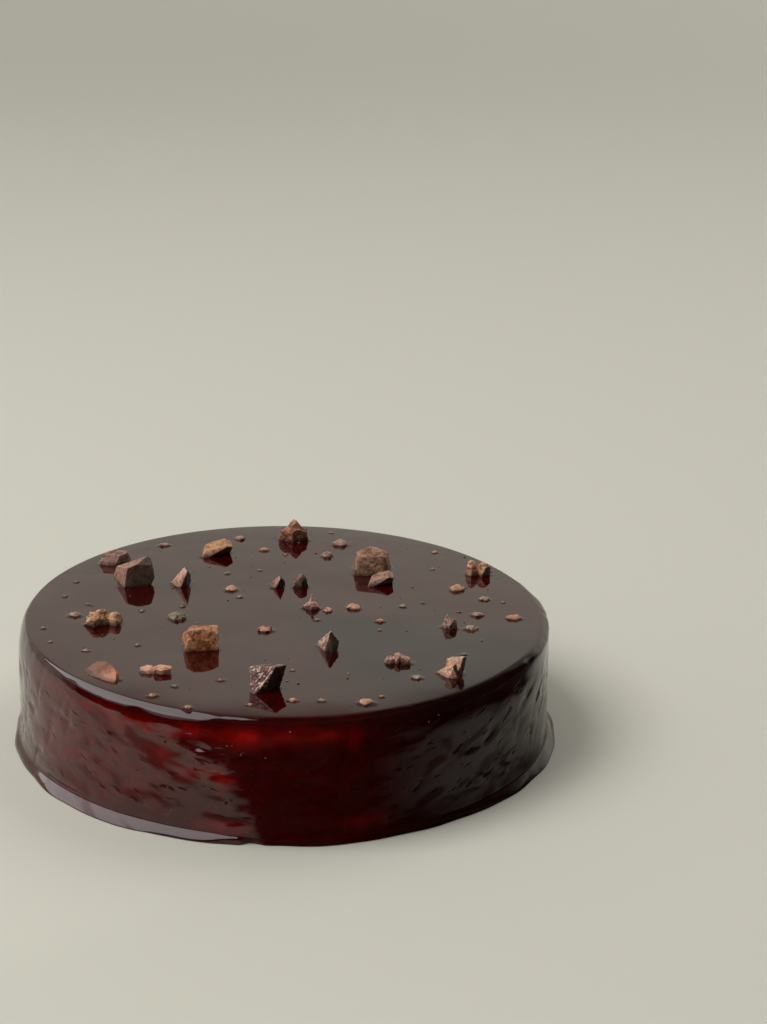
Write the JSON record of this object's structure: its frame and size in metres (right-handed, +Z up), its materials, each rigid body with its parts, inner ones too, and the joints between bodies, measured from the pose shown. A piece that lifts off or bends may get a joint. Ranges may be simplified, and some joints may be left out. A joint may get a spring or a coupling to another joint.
{
  "type": "chocolate nougat cake",
  "caption": "Low round cake under a dark mirror glaze with a rounded edge and a pooled foot, strewn with chopped chocolate nougat pieces and crumbs.",
  "frame": {"origin": "middle of the flat underside", "axes": "+Z up through the middle of the cake, -Y towards the side that the picture shows"},
  "size_m": [0.229, 0.227, 0.0629],
  "materials": {
    "glaze": "dark cocoa mirror glaze",
    "nougat": "chopped chocolate nougat, broken faces",
    "crumb": "toasted nougat crumb"
  },
  "bodies": {
    "root": {"cake": "glaze", "chunk_01": "nougat", "chunk_02": "nougat", "chunk_03": "nougat", "chunk_04": "nougat", "chunk_05": "nougat", "chunk_06": "nougat", "chunk_07": "nougat", "chunk_08": "nougat", "chunk_09": "nougat", "chunk_10": "nougat", "chunk_11": "nougat", "chunk_12": "nougat", "chunk_13": "nougat", "chunk_14": "nougat", "chunk_15": "nougat", "chunk_16": "nougat", "chunk_17": "nougat", "chunk_18": "nougat", "chunk_19": "nougat", "chunk_20": "nougat"}
  },
  "joints": []
}
